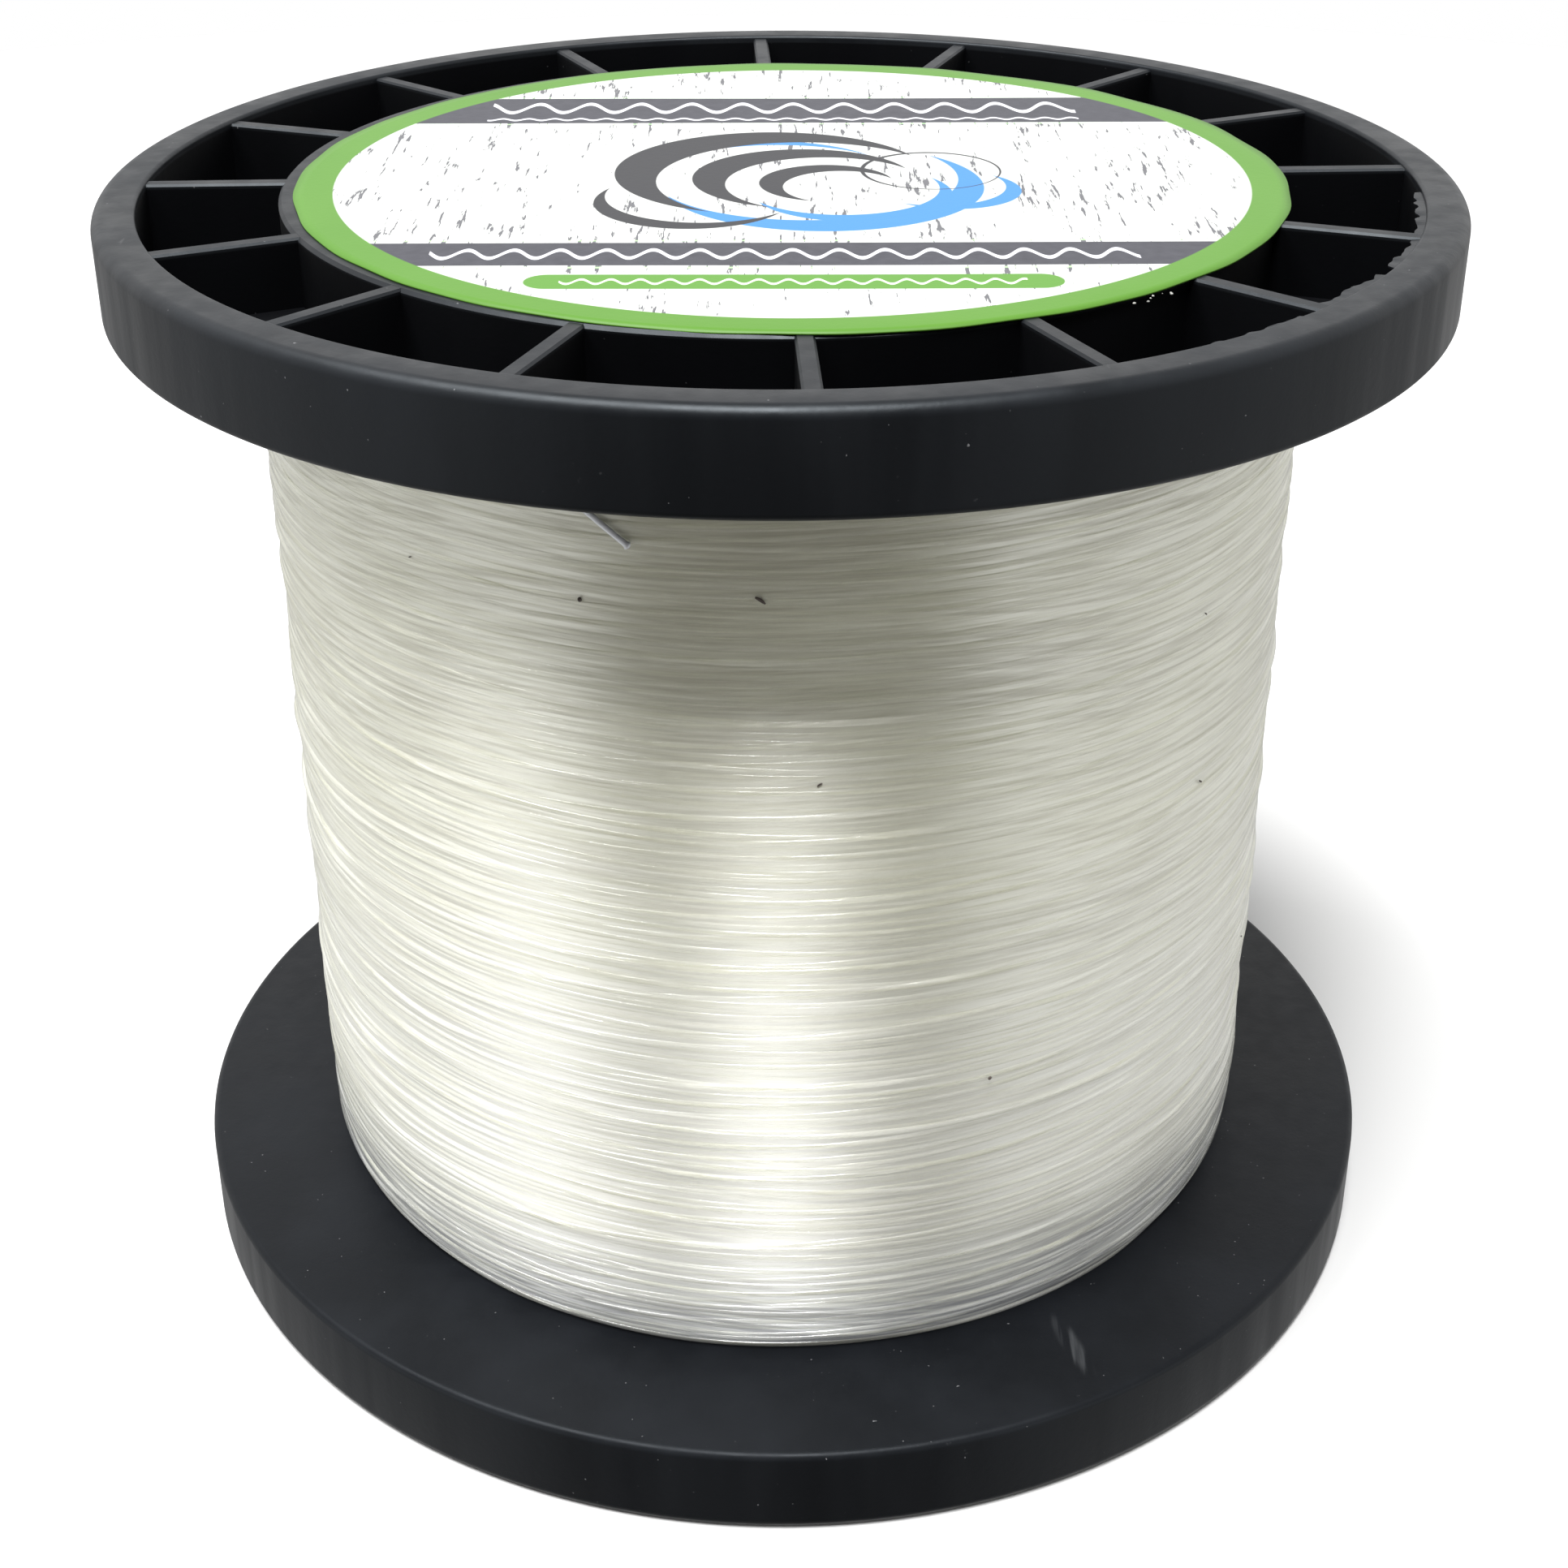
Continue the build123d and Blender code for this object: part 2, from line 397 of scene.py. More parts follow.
def disc_mask(net, x, y, cx, cy, radius, edge=0.06):
    dx = net.math("SUBTRACT", x, cx)
    dy = net.math("SUBTRACT", y, cy)
    squares = net.math("ADD", net.math("MULTIPLY", dx, dx), net.math("MULTIPLY", dy, dy))
    return net.ramp(net.math("SQRT", squares), radius - edge, radius + edge, 1.0, 0.0)


def crescent(net, x, y, outer, inner):
    keep = disc_mask(net, x, y, *outer)
    cut = net.math("SUBTRACT", 1.0, disc_mask(net, x, y, *inner))
    return net.math("MULTIPLY", keep, cut)


def band_mask(net, value, low, high, edge=0.06):
    rise = net.ramp(value, low - edge, low + edge)
    fall = net.ramp(value, high - edge, high + edge, 1.0, 0.0)
    return net.math("MULTIPLY", rise, fall)


def wave_mask(net, x, y, middle, swing, period, half_width):
    phase = net.math("MULTIPLY", x, 2.0 * math.pi / period)
    crest = net.math("MULTIPLY", net.math("SINE", phase), swing)
    away = net.math("ABSOLUTE", net.math("SUBTRACT", y, net.math("ADD", crest, middle)))
    return net.ramp(away, half_width - 0.08, half_width + 0.08, 1.0, 0.0)


def any_of(net, masks):
    total = masks[0]
    for mask in masks[1:]:
        total = net.math("MAXIMUM", total, mask)
    return total


def label_print(name):
    """Printed label: green ring, worn white boards, dark bands with wave lines, an emblem of crescents."""
    material, net = new_material(name)
    point = net.object_point((1000.0, 1000.0, 1000.0))
    split = net.nodes.new("ShaderNodeSeparateXYZ")
    net.put(split.inputs[0], point)
    x = split.outputs["X"]
    y = split.outputs["Y"]

    # Worn boards: short upright flecks gathered in patches and along the board seams.
    fleck = net.noise(net.object_point((1.0, 0.10, 1.0)), 2100.0, 3.0, 0.6)
    patch = net.noise(net.object_point((1.0, 0.5, 1.0)), 130.0, 3.0, 0.6)
    seam_wave = net.math("ABSOLUTE", net.math("SINE", net.math("MULTIPLY", x, math.pi / 9.3)))
    seam = net.ramp(seam_wave, 0.0, 0.045, 1.0, 0.0)
    lean = net.math("ADD", net.math("MULTIPLY", patch, 0.42), net.math("MULTIPLY", seam, 0.07))
    wear = net.ramp(net.math("ADD", fleck, lean), 0.835, 0.865)
    soft_grey = net.ramp(net.noise(net.object_point((1.0, 0.2, 1.0)), 260.0, 3.0, 0.6), 0.5, 0.8, 0.0, 0.22)
    white = net.mix(soft_grey, (0.285, 0.29, 0.28, 1.0), (0.19, 0.20, 0.19, 1.0))
    colour = net.mix(wear, white, (0.06, 0.06, 0.065, 1.0))

    # Emblem: nested crescents, dark above and blue below.
    dark = any_of(net, [
        crescent(net, x, y, (-1.0, 0.5, 14.5), (1.9, -2.4, 13.4)),
        crescent(net, x, y, (2.0, -1.8, 10.2), (4.1, -3.9, 9.2)),
        crescent(net, x, y, (4.2, -3.6, 6.2), (5.6, -5.0, 5.4)),
        crescent(net, x, y, (-8.0, -9.5, 8.8), (-6.9, -7.4, 9.0)),
    ])
    blue = any_of(net, [
        crescent(net, x, y, (4.0, -4.5, 14.6), (2.4, -1.7, 14.0)),
        crescent(net, x, y, (6.6, -7.2, 9.0), (5.6, -5.2, 8.9)),
        crescent(net, x, y, (-1.8, -0.6, 12.2), (-0.4, -1.9, 11.9)),
        crescent(net, x, y, (15.5, -6.0, 6.4), (14.0, -4.6, 6.6)),
    ])
    thread = crescent(net, x, y, (14.0, 0.6, 6.6), (14.1, 0.5, 6.3))
    colour = net.mix(blue, colour, (0.022, 0.105, 0.25, 1.0))
    colour = net.mix(any_of(net, [dark, thread]), colour, (0.012, 0.012, 0.014, 1.0))

    # Bands with plain wave lines, and the green pill.
    upper = band_mask(net, y, 18.8, 29.0)
    lower = band_mask(net, y, -28.8, -22.4)
    lines = any_of(net, [band_mask(net, y, 29.25, 29.5), band_mask(net, y, 18.2, 18.5),
                         band_mask(net, y, -21.9, -21.6), band_mask(net, y, -29.6, -29.2)])
    grain = net.noise(net.object_point((1.0, 1.0, 1.0)), 900.0, 2.0, 0.5)
    slate = net.mix(grain, (0.014, 0.014, 0.019, 1.0), (0.030, 0.030, 0.037, 1.0))
    colour = net.mix(net.math("MULTIPLY", lines, 0.7), colour, (0.25, 0.45, 0.20, 1.0))
    colour = net.mix(any_of(net, [upper, lower]), colour, slate)
    inside_x = band_mask(net, x, -29.5, 30.0)
    waves = any_of(net, [wave_mask(net, x, y, 24.9, 1.75, 5.2, 0.62),
                         wave_mask(net, x, y, 20.3, 0.35, 2.6, 0.28),
                         wave_mask(net, x, y, -25.6, 1.15, 3.9, 0.46)])
    colour = net.mix(net.math("MULTIPLY", waves, inside_x), colour, (0.34, 0.34, 0.36, 1.0))
    pill_bar = net.math("MULTIPLY", band_mask(net, x, -19.0, 21.1), band_mask(net, y, -35.1, -31.3))
    pill_ends = [disc_mask(net, x, y, end, -33.2, 1.9) for end in (-19.0, 21.1)]
    pill = any_of(net, [pill_bar] + pill_ends)
    colour = net.mix(pill, colour, (0.045, 0.125, 0.014, 1.0))
    pill_wave = wave_mask(net, x, y, -33.2, 0.6, 2.4, 0.24)
    pill_line = net.math("MULTIPLY", pill_wave, band_mask(net, x, -18.0, 20.0))
    colour = net.mix(pill_line, colour, (0.42, 0.47, 0.38, 1.0))

    # Green ring round the edge.
    ring = net.math("SUBTRACT", 1.0, disc_mask(net, x, y, *LABEL_CENTRE, LABEL_FIELD_RADIUS, 0.08))
    green_noise = net.noise(net.object_point((1.0, 1.0, 1.0)), 60.0, 3.0, 0.5)
    green = net.mix(green_noise, (0.036, 0.103, 0.008, 1.0), (0.050, 0.124, 0.014, 1.0))
    colour = net.mix(ring, colour, green)
    fibre = net.noise(net.object_point((1.0, 1.0, 1.0)), 1700.0, 4.0, 0.6)
    normal = net.bump(fibre, 0.10, 0.0001)
    shader = net.principled(Base_Color=colour, Normal=normal)
    shader.inputs["Roughness"].default_value = 0.45
    shader.inputs["Specular IOR Level"].default_value = 0.18
    return material


def simple_detail(name, low, high, scale, roughness):
    """A small part's finish: two tones mixed by fine noise."""
    material, net = new_material(name)
    tone = net.mix(net.noise(net.object_point((1.0, 1.0, 1.0)), scale, 3.0, 0.6), low, high)
    shader = net.principled(Base_Color=tone)
    shader.inputs["Roughness"].default_value = roughness
    return material


# ---------------------------------------------------------------- flanges

def rounded(corner, radius, start, end, steps=7):
    """Points of a quarter round about a centre, between two directions in degrees."""
    turn = np.radians(np.linspace(start, end, steps))
    return [(corner[0] + radius * math.cos(a), corner[1] + radius * math.sin(a)) for a in turn]


def flange_outline():
    """Section of a flange as radius and depth below its outer face."""
    top = RIB_DROP
    web = WEB_DEPTH
    line_side = FLANGE_THICKNESS
    core_in = CORE_RING_RADIUS - CORE_RING_WIDTH
    hub_in = HUB_RING_RADIUS - HUB_RING_WIDTH
    points = [(BORE_RADIUS, top), (BOSS_RADIUS, top), (BOSS_RADIUS, web), (core_in, web), (core_in, top)]
    points += [(CORE_RING_RADIUS, top), (CORE_RING_RADIUS, web), (hub_in, web), (hub_in, top + 0.2)]
    points += [(hub_in + 0.2, top), (HUB_RING_RADIUS - 0.3, top), (HUB_RING_RADIUS, top + 0.3)]
    points += [(HUB_RING_RADIUS, web), (RIM_INNER_RADIUS, web)]
    lip = RIM_LIP_ROUND
    outer = RIM_OUTER_ROUND
    inner = RIM_LINE_ROUND
    points += rounded((RIM_INNER_RADIUS + lip, lip), lip, 180, 270)
    points += rounded((FLANGE_RADIUS - outer, outer), outer, -90, 0, 10)
    points += rounded((FLANGE_RADIUS - inner, line_side - inner), inner, 0, 90)
    collar_end = line_side + COLLAR_REACH
    collar_in = COLLAR_RADIUS - COLLAR_WALL
    points += [(COLLAR_RADIUS, line_side), (COLLAR_RADIUS, collar_end - COLLAR_LEAD_IN)]
    points += [(COLLAR_RADIUS - COLLAR_LEAD_IN, collar_end), (collar_in, collar_end), (collar_in, line_side)]
    boss_end = line_side + BOSS_REACH
    points += [(BOSS_RADIUS, line_side), (BOSS_RADIUS, boss_end), (BORE_RADIUS, boss_end)]
    return points


def rib_points(angle, start, end):
    """One radial rib as two matching end sections."""
    half = RIB_WIDTH / 2.0
    top = RIB_DROP + 0.02
    section = [(-half, WEB_DEPTH + 0.1), (-half, top + 0.2), (-half + 0.2, top)]
    section += [(half - 0.2, top), (half, top + 0.2), (half, WEB_DEPTH + 0.1)]
    points = []
    for reach in (start, end):
        for side, depth in section:
            x = reach * math.sin(angle) + side * math.cos(angle)
            y = -reach * math.cos(angle) + side * math.sin(angle)
            points.append((x, y, depth))
    return points


def build_flange(name, phase, upside, material):
    """A flange moulding: turned section plus ribs. Depths are measured from its outer face."""
    outline = flange_outline()
    count = len(outline)
    points = []
    faces = []
    for i in range(FLANGE_SEGMENTS):
        angle = 2.0 * math.pi * i / FLANGE_SEGMENTS
        for radius, depth in outline:
            points.append((radius * math.sin(angle), -radius * math.cos(angle), depth))
    for i in range(FLANGE_SEGMENTS):
        j = (i + 1) % FLANGE_SEGMENTS
        for k in range(count):
            m = (k + 1) % count
            faces.append((i * count + k, j * count + k, j * count + m, i * count + m))
    spans = [(phase + 2.0 * math.pi * k / RIB_COUNT, CORE_RING_RADIUS - 1.0, RIM_INNER_RADIUS + 1.0)
             for k in range(RIB_COUNT)]
    spans += [(phase + 2.0 * math.pi * k / INNER_RIB_COUNT, BOSS_RADIUS - 1.0, CORE_RING_RADIUS - 1.0)
              for k in range(INNER_RIB_COUNT)]
    for angle, start, end in spans:
        base = len(points)
        points += rib_points(angle, start, end)
        for k in range(6):
            m = (k + 1) % 6
            faces.append((base + k, base + 6 + k, base + 6 + m, base + m))
        faces.append(tuple(base + k for k in range(6)))
        faces.append(tuple(base + 6 + k for k in reversed(range(6))))
    if upside:
        points = [(x, y, SPOOL_HEIGHT - depth) for x, y, depth in points]
    else:
        faces = [tuple(reversed(face)) for face in faces]
    obj = mesh_object(name, points, faces)
    obj.data.set_sharp_from_angle(angle=math.radians(32.0))
    obj.data.materials.append(material)
    return obj


# ---------------------------------------------------------------- winding

def smooth_rows(surface, sigma):
    """Gaussian smoothing of every column up the winding."""
    reach = int(3 * sigma) + 1
    taps = np.exp(-0.5 * (np.arange(-reach, reach + 1) / sigma) ** 2)
    padded = np.pad(surface, ((reach, reach), (0, 0)), mode="edge")
    total = np.zeros_like(surface)
    for k, tap in enumerate(taps / taps.sum()):
        total += tap * padded[k:k + surface.shape[0]]
    return total


def smooth_round(surface, sigma):
    """Gaussian smoothing of every row around the winding."""
    reach = int(3 * sigma) + 1
    total = np.zeros_like(surface)
    weight = 0.0
    for k in range(-reach, reach + 1):
        tap = math.exp(-0.5 * (k / sigma) ** 2)
        total += tap * np.roll(surface, k, axis=1)
        weight += tap
    return total / weight


def build_core(surface, material):
    """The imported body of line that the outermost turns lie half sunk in."""
    body = smooth_round(smooth_rows(surface, FILL_BLUR / ROW_STEP), 1.5) - FILL_DEPTH
    keep = np.arange(0, body.shape[0], FILL_ROWS)
    keep[-1] = body.shape[0] - 1
    count = len(keep)
    angle = math.pi + np.arange(COLUMNS) * STEP_ANGLE
    radius = body[keep]
    z = WINDING_BOTTOM + keep * ROW_STEP
    levels = np.repeat(z[:, None], COLUMNS, 1)
    outer = np.stack([radius * np.sin(angle), -radius * np.cos(angle), levels], -1)
    bore = np.stack([CORE_BORE * np.sin(angle), -CORE_BORE * np.cos(angle)], -1)
    low = np.concatenate([bore, np.full((COLUMNS, 1), WINDING_BOTTOM)], 1)
    high = np.concatenate([bore, np.full((COLUMNS, 1), WINDING_TOP)], 1)
    points = np.concatenate([low[None], outer, high[None]]).reshape(-1, 3)
    here = np.arange(count + 2)[:, None] * COLUMNS + np.arange(COLUMNS)[None, :]
    after = np.arange(count + 2)[:, None] * COLUMNS + (np.arange(COLUMNS)[None, :] + 1) % COLUMNS
    above = np.roll(here, -1, axis=0)
    above_after = np.roll(after, -1, axis=0)
    quads = np.stack([here, after, above_after, above], -1).reshape(-1, 4)
    obj = quad_mesh_object("winding_core", points, quads, [])
    obj.data.materials.append(material)
    return obj


def start_surface(rng):
    """Radius of the surface the outer turns are laid on, by height row and angle column."""
    rows = int(round((WINDING_TOP - WINDING_BOTTOM) / ROW_STEP)) + 1
    z = WINDING_BOTTOM + np.arange(rows) * ROW_STEP
    angle = np.arange(COLUMNS) * STEP_ANGLE
    edge = np.minimum(z - WINDING_BOTTOM, WINDING_TOP - z)
    drop = 1.1 * np.clip(1.0 - edge / 2.2, 0.0, 1.0) ** 2
    height = np.full((rows, COLUMNS), CORE_RADIUS + 0.05)
    for _ in range(10):
        waves = rng.integers(1, 5)
        pitch = rng.uniform(12.0, 45.0)
        phase = rng.uniform(0.0, 6.28)
        height += 0.055 * np.sin(waves * angle[None, :] + z[:, None] / pitch * 6.28 + phase)
    return height - drop[:, None]


def rest_height(surface, row, column):
    """Radius at which a line's centre comes to rest over the surface below it."""
    reach = int(PRESSED_RADIUS / ROW_STEP)
    centre = np.rint(row).astype(int)
    best = np.full(len(row), -1.0)
    for k in range(-reach, reach + 1):
        lift = math.sqrt(PRESSED_RADIUS ** 2 - (k * ROW_STEP) ** 2)
        there = np.clip(centre + k, 0, surface.shape[0] - 1)
        best = np.maximum(best, surface[there, column] + lift)
    return best


def press_in(surface, row, column, height):
    """Raises the surface to the top of a line that has been laid on it."""
    reach = int(LINE_RADIUS / ROW_STEP)
    centre = np.rint(row).astype(int)
    for k in range(-reach, reach + 1):
        lift = math.sqrt(max(LINE_RADIUS ** 2 - (k * ROW_STEP) ** 2, 0.0))
        there = np.clip(centre + k, 0, surface.shape[0] - 1)
        np.maximum.at(surface, (there, column), height + lift)


def pull_tight(height):
    """A taut line rests on the high places and bridges the hollows between them."""
    tight = height.copy()
    for k in range(1, 11):
        sag = SAG * (k * STEP_ANGLE) ** 2
        tight[k:] = np.maximum(tight[k:], height[:-k] - sag)
        tight[:-k] = np.maximum(tight[:-k], height[k:] - sag)
    return blur(tight, 1.6)


def find_groove(surface, row, column, width, steps):
    """Slides each part of a line sideways into the lowest groove close to it."""
    offsets = np.linspace(-width, width, steps) / ROW_STEP
    costs = []
    for offset in offsets:
        height = rest_height(surface, row + offset, column)
        costs.append(blur(height, 7.0) + 0.02 * abs(offset) * ROW_STEP)
    choice = offsets[np.argmin(np.array(costs), axis=0)]
    return row + blur(choice, 6.0)


def lay_pass(surface, rng, pitch, upward, start_column, wander):
    """One pass of the line from flange to flange; returns its heights, angles and radii."""
    margin = LINE_RADIUS + 0.05
    low = WINDING_BOTTOM + margin
    high = WINDING_TOP - margin
    turns = (high - low) / pitch
    count = int(turns * COLUMNS)
    along = np.arange(count)
    z = low + (high - low) * along / (count - 1)
    drift = np.zeros(count)
    for _ in range(6):
        length = rng.uniform(0.35, 3.0) * COLUMNS
        drift += wander * rng.uniform(0.3, 1.0) * np.sin(6.283 * along / length + rng.uniform(0, 6.283))
    fade = np.clip(np.minimum(along, count - 1 - along) / (0.5 * COLUMNS), 0.0, 1.0)
    z = np.clip(z + drift * fade, low, high)
    if not upward:
        z = z[::-1]
    column = (start_column + along) % COLUMNS
    row = (z - WINDING_BOTTOM) / ROW_STEP
    if CLOSE_PITCH < pitch < GROOVE_PITCH:
        row = find_groove(surface, row, column, 0.55, 12)
        row = np.clip(row, margin / ROW_STEP, surface.shape[0] - 1 - margin / ROW_STEP)
    height = pull_tight(rest_height(surface, row, column)) - SINK
    press_in(surface, row, column, height)
    z = WINDING_BOTTOM + row * ROW_STEP
    return z, start_column + along, height


def strand_object(name, z, column, radius, material):
    """A length of the laid line as a tube, from its heights, angle columns and radii."""
    angle = math.pi + column * STEP_ANGLE
    out = np.stack([np.sin(angle), -np.cos(angle), np.zeros(len(angle))], -1)
    up = np.tile([0.0, 0.0, 1.0], (len(angle), 1))
    centres = out * radius[:, None] + up * z[:, None]
    radii = np.full(len(angle), LINE_RADIUS)
    points, quads, caps = tube_arrays(centres, out, up, radii, TUBE_SIDES)
    obj = quad_mesh_object(name, points, quads, caps)
    obj.data.materials.append(material)
    return obj


def build_strands(material):
    """The outer turns: one close layer, then several open crossing passes laid over it."""
    rng = np.random.default_rng(SEED)
    surface = start_surface(rng)
    start = 0
    path = []
    for index, pitch in enumerate(PASS_PITCHES):
        wander = 0.0 if pitch < CLOSE_PITCH else 0.03 + 0.03 * pitch
        z, column, height = lay_pass(surface, rng, pitch, index % 2 == 0, start, wander)
        path.append((z, column, height))
        start = int(column[-1]) + 1
    z = np.concatenate([p[0] for p in path])
    column = np.concatenate([p[1] for p in path])
    height = np.concatenate([p[2] for p in path])
    height = blur(height, 1.0)

    # The close pass is cut into even pieces, and later passes only where one ends, at a flange.
    ends = np.cumsum([len(p[0]) for p in path])
    cuts = [0]
    while ends[0] - cuts[-1] > PIECE_SAMPLES:
        cuts.append(cuts[-1] + CLOSE_PIECE_TURNS * COLUMNS)
    for here, after in zip(ends, list(ends[1:]) + [ends[-1] + PIECE_SAMPLES]):
        if after - cuts[-1] > PIECE_SAMPLES:
            cuts.append(int(here))
    made = []
    for number in range(len(cuts) - 1):
        span = slice(cuts[number], min(cuts[number + 1] + 1, len(z)))
        name = f"line_turns_{number + 1}"
        made.append(strand_object(name, z[span], column[span], height[span], material))
    return made, surface


def surface_radius(surface, angle, z):
    """Radius of the outermost line at an angle from the front, towards +X."""
    column = int(round((angle - math.pi) / STEP_ANGLE)) % COLUMNS
    row = int(round((z - WINDING_BOTTOM) / ROW_STEP))
    window = surface[max(row - 5, 0):row + 6, column]
    return float(window.max())


def build_tail(surface, material):
    """The cut end of the line, held out a little from the winding, with a melted bead.
    Stations are degrees from the front, towards +X, and height."""
    stations = [(-26.0, 99.1), (-21.8, 96.1), (-17.6, 93.4), (-13.5, 90.9)]
    spread = np.linspace(0, 3, 40)
    angles = np.radians(np.interp(spread, range(4), [s[0] for s in stations]))
    heights = np.interp(spread, range(4), [s[1] for s in stations])
    angles = blur(angles, 3.0)
    heights = blur(heights, 3.0)
    stand = np.interp(spread, range(4), [0.20, 0.22, 0.28, 0.45])
    base = np.array([surface_radius(surface, a, z) for a, z in zip(angles, heights)])
    radius = blur(base, 4.0) + stand
    swell = np.exp(-((spread - 2.93) / 0.055) ** 2)
    radii = 0.25 + 0.13 * swell
    radii[-1] = 0.14
    out = np.stack([np.sin(angles), -np.cos(angles), 0.0 * angles], -1)
    centres = out * radius[:, None] + np.array([0.0, 0.0, 1.0]) * heights[:, None]
    along = np.gradient(centres, axis=0)
    along /= np.linalg.norm(along, axis=1)[:, None]
    side = np.cross(out, along)
    side /= np.linalg.norm(side, axis=1)[:, None]
    points, quads, caps = tube_arrays(centres, out, side, radii, 12)
    obj = quad_mesh_object("tail_end", points, quads, caps)
    obj.data.materials.append(material)
    return obj


def build_lint(surface, material):
    """A few dark crumbs and hairs caught on the line.
    Each spot is degrees from the front, height, length and thickness."""
    rng = np.random.default_rng(SEED + 9)
    spots = [(-19.4, 85.6, 0.28, 0.22), (-2.0, 86.8, 1.0, 0.14)]
    spots += [(22.0, 38.0, 0.35, 0.14), (3.6, 70.0, 0.5, 0.08)]
    limits = [(-180.0, 180.0), (14.0, 92.0), (0.2, 0.7), (0.05, 0.09)]
    for _ in range(22):
        spots.append(tuple(rng.uniform(low, high) for low, high in limits))
    points = []
    quads = []
    caps = []
    for degrees, z, length, thick in spots:
        spread = np.linspace(-0.5, 0.5, 7)
        bend = rng.uniform(-0.6, 0.6)
        lean = rng.uniform(-0.9, 0.9)
        middle = math.radians(degrees)
        angle = middle + spread * length * math.cos(lean) / 49.0
        heights = z + spread * length * math.sin(lean) + bend * length * (spread ** 2 - 0.25)
        radius = surface_radius(surface, middle, z) + 0.02 + 0.0 * spread
        out = np.stack([np.sin(angle), -np.cos(angle), 0.0 * angle], -1)
        centres = out * radius[:, None] + np.array([0.0, 0.0, 1.0]) * heights[:, None]
        along = np.gradient(centres, axis=0)
        along /= np.linalg.norm(along, axis=1)[:, None]
        side = np.cross(out, along)
        radii = thick * (0.35 + 0.65 * np.cos(spread * 2.6))
        more, faces, ends = tube_arrays(centres, out, side, radii, 6)
        base = sum(len(p) for p in points)
        points.append(more)
        quads.append(faces + base)
        caps += [[base + i for i in end] for end in ends]
    obj = quad_mesh_object("line_lint", np.concatenate(points), np.concatenate(quads), caps)
    obj.data.materials.append(material)
    return obj


# ---------------------------------------------------------------- label

def label_height(x, y):
    """Top face of the label: nearly flat, creased a little over the ribs it overhangs."""
    r = math.hypot(x, y)
    angle = math.atan2(x, -y)
    rib = math.cos(RIB_COUNT * (angle - TOP_RIB_PHASE))
    over = min(max((r - HUB_RING_RADIUS + 1.4) / 2.0, 0.0), 1.0)
    swell = 0.025 * math.sin(x / 9.0 + 0.7) * math.cos(y / 11.0)
    return LABEL_TOP - 0.03 + swell + over * (0.06 * rib - 0.10)


def label_index(ring, step):
    """Number of the label's top point on a ring, with the middle as ring 0."""
    if ring == 0:
        return 0
    return 1 + (ring - 1) * LABEL_SEGMENTS + step % LABEL_SEGMENTS


def build_label(material):
    """The label as a thin closed disc with a slightly uneven edge."""
    cx, cy = LABEL_CENTRE
    points = []
    for k in range(LABEL_RINGS + 1):
        reach = LABEL_RADIUS * k / LABEL_RINGS
        for i in range(LABEL_SEGMENTS if k else 1):
            angle = 2.0 * math.pi * i / LABEL_SEGMENTS
            fray = 0.0
            if k == LABEL_RINGS:
                fray = 0.10 * math.sin(23.0 * angle) * math.sin(7.0 * angle + 1.3)
            x = cx + (reach + fray) * math.sin(angle)
            y = cy - (reach + fray) * math.cos(angle)
            points.append((x, y, label_height(x, y)))
    under = len(points)
    points += [(x, y, z - LABEL_THICKNESS) for x, y, z in points]
    faces = []
    for i in range(LABEL_SEGMENTS):
        wedge = [(label_index(0, 0), label_index(1, i), label_index(1, i + 1))]
        for k in range(1, LABEL_RINGS):
            near = (label_index(k, i), label_index(k + 1, i))
            far = (label_index(k + 1, i + 1), label_index(k, i + 1))
            wedge.append(near + far)
        for face in wedge:
            faces.append(face)
            faces.append(tuple(p + under for p in (face[:1] + face[:0:-1])))
        a = label_index(LABEL_RINGS, i)
        b = label_index(LABEL_RINGS, i + 1)
        faces.append((a, a + under, b + under, b))
    obj = mesh_object("label_disc", points, faces)
    obj.data.materials.append(material)
    return obj


def build_crumbs(material):
    """Pale crumbs of adhesive squeezed out along the label's front right edge."""
    rng = np.random.default_rng(SEED + 13)
    points = []
    faces = []
    for _ in range(7):
        azimuth = math.radians(rng.uniform(36.0, 42.0))
        reach = LABEL_RADIUS + rng.uniform(0.10, 0.50)
        x = LABEL_CENTRE[0] + reach * math.sin(azimuth)
        y = LABEL_CENTRE[1] - reach * math.cos(azimuth)
        middle = np.array([x, y, 107.42 + rng.uniform(-0.15, 0.15)])
        size = rng.uniform(0.05, 0.14)
        base = len(points)
        for ring in range(1, 5):
            polar = math.pi * ring / 5.0
            for step in range(7):
                turn = 2.0 * math.pi * step / 7.0
                lump = size * rng.uniform(0.65, 1.25)
                flat = math.sin(polar)
                offset = np.array([flat * math.cos(turn), flat * math.sin(turn), 0.7 * math.cos(polar)])
                points.append(tuple(middle + lump * offset))
        for ring in range(3):
            for step in range(7):
                after = (step + 1) % 7
                a = base + ring * 7
                b = a + 7
                faces.append((a + step, b + step, b + after, a + after))
        faces.append(tuple(base + step for step in range(7)))
        faces.append(tuple(base + 21 + step for step in reversed(range(7))))
    obj = mesh_object("label_crumbs", points, faces)
    obj.data.materials.append(material)
    return obj


# ---------------------------------------------------------------- moulding flash

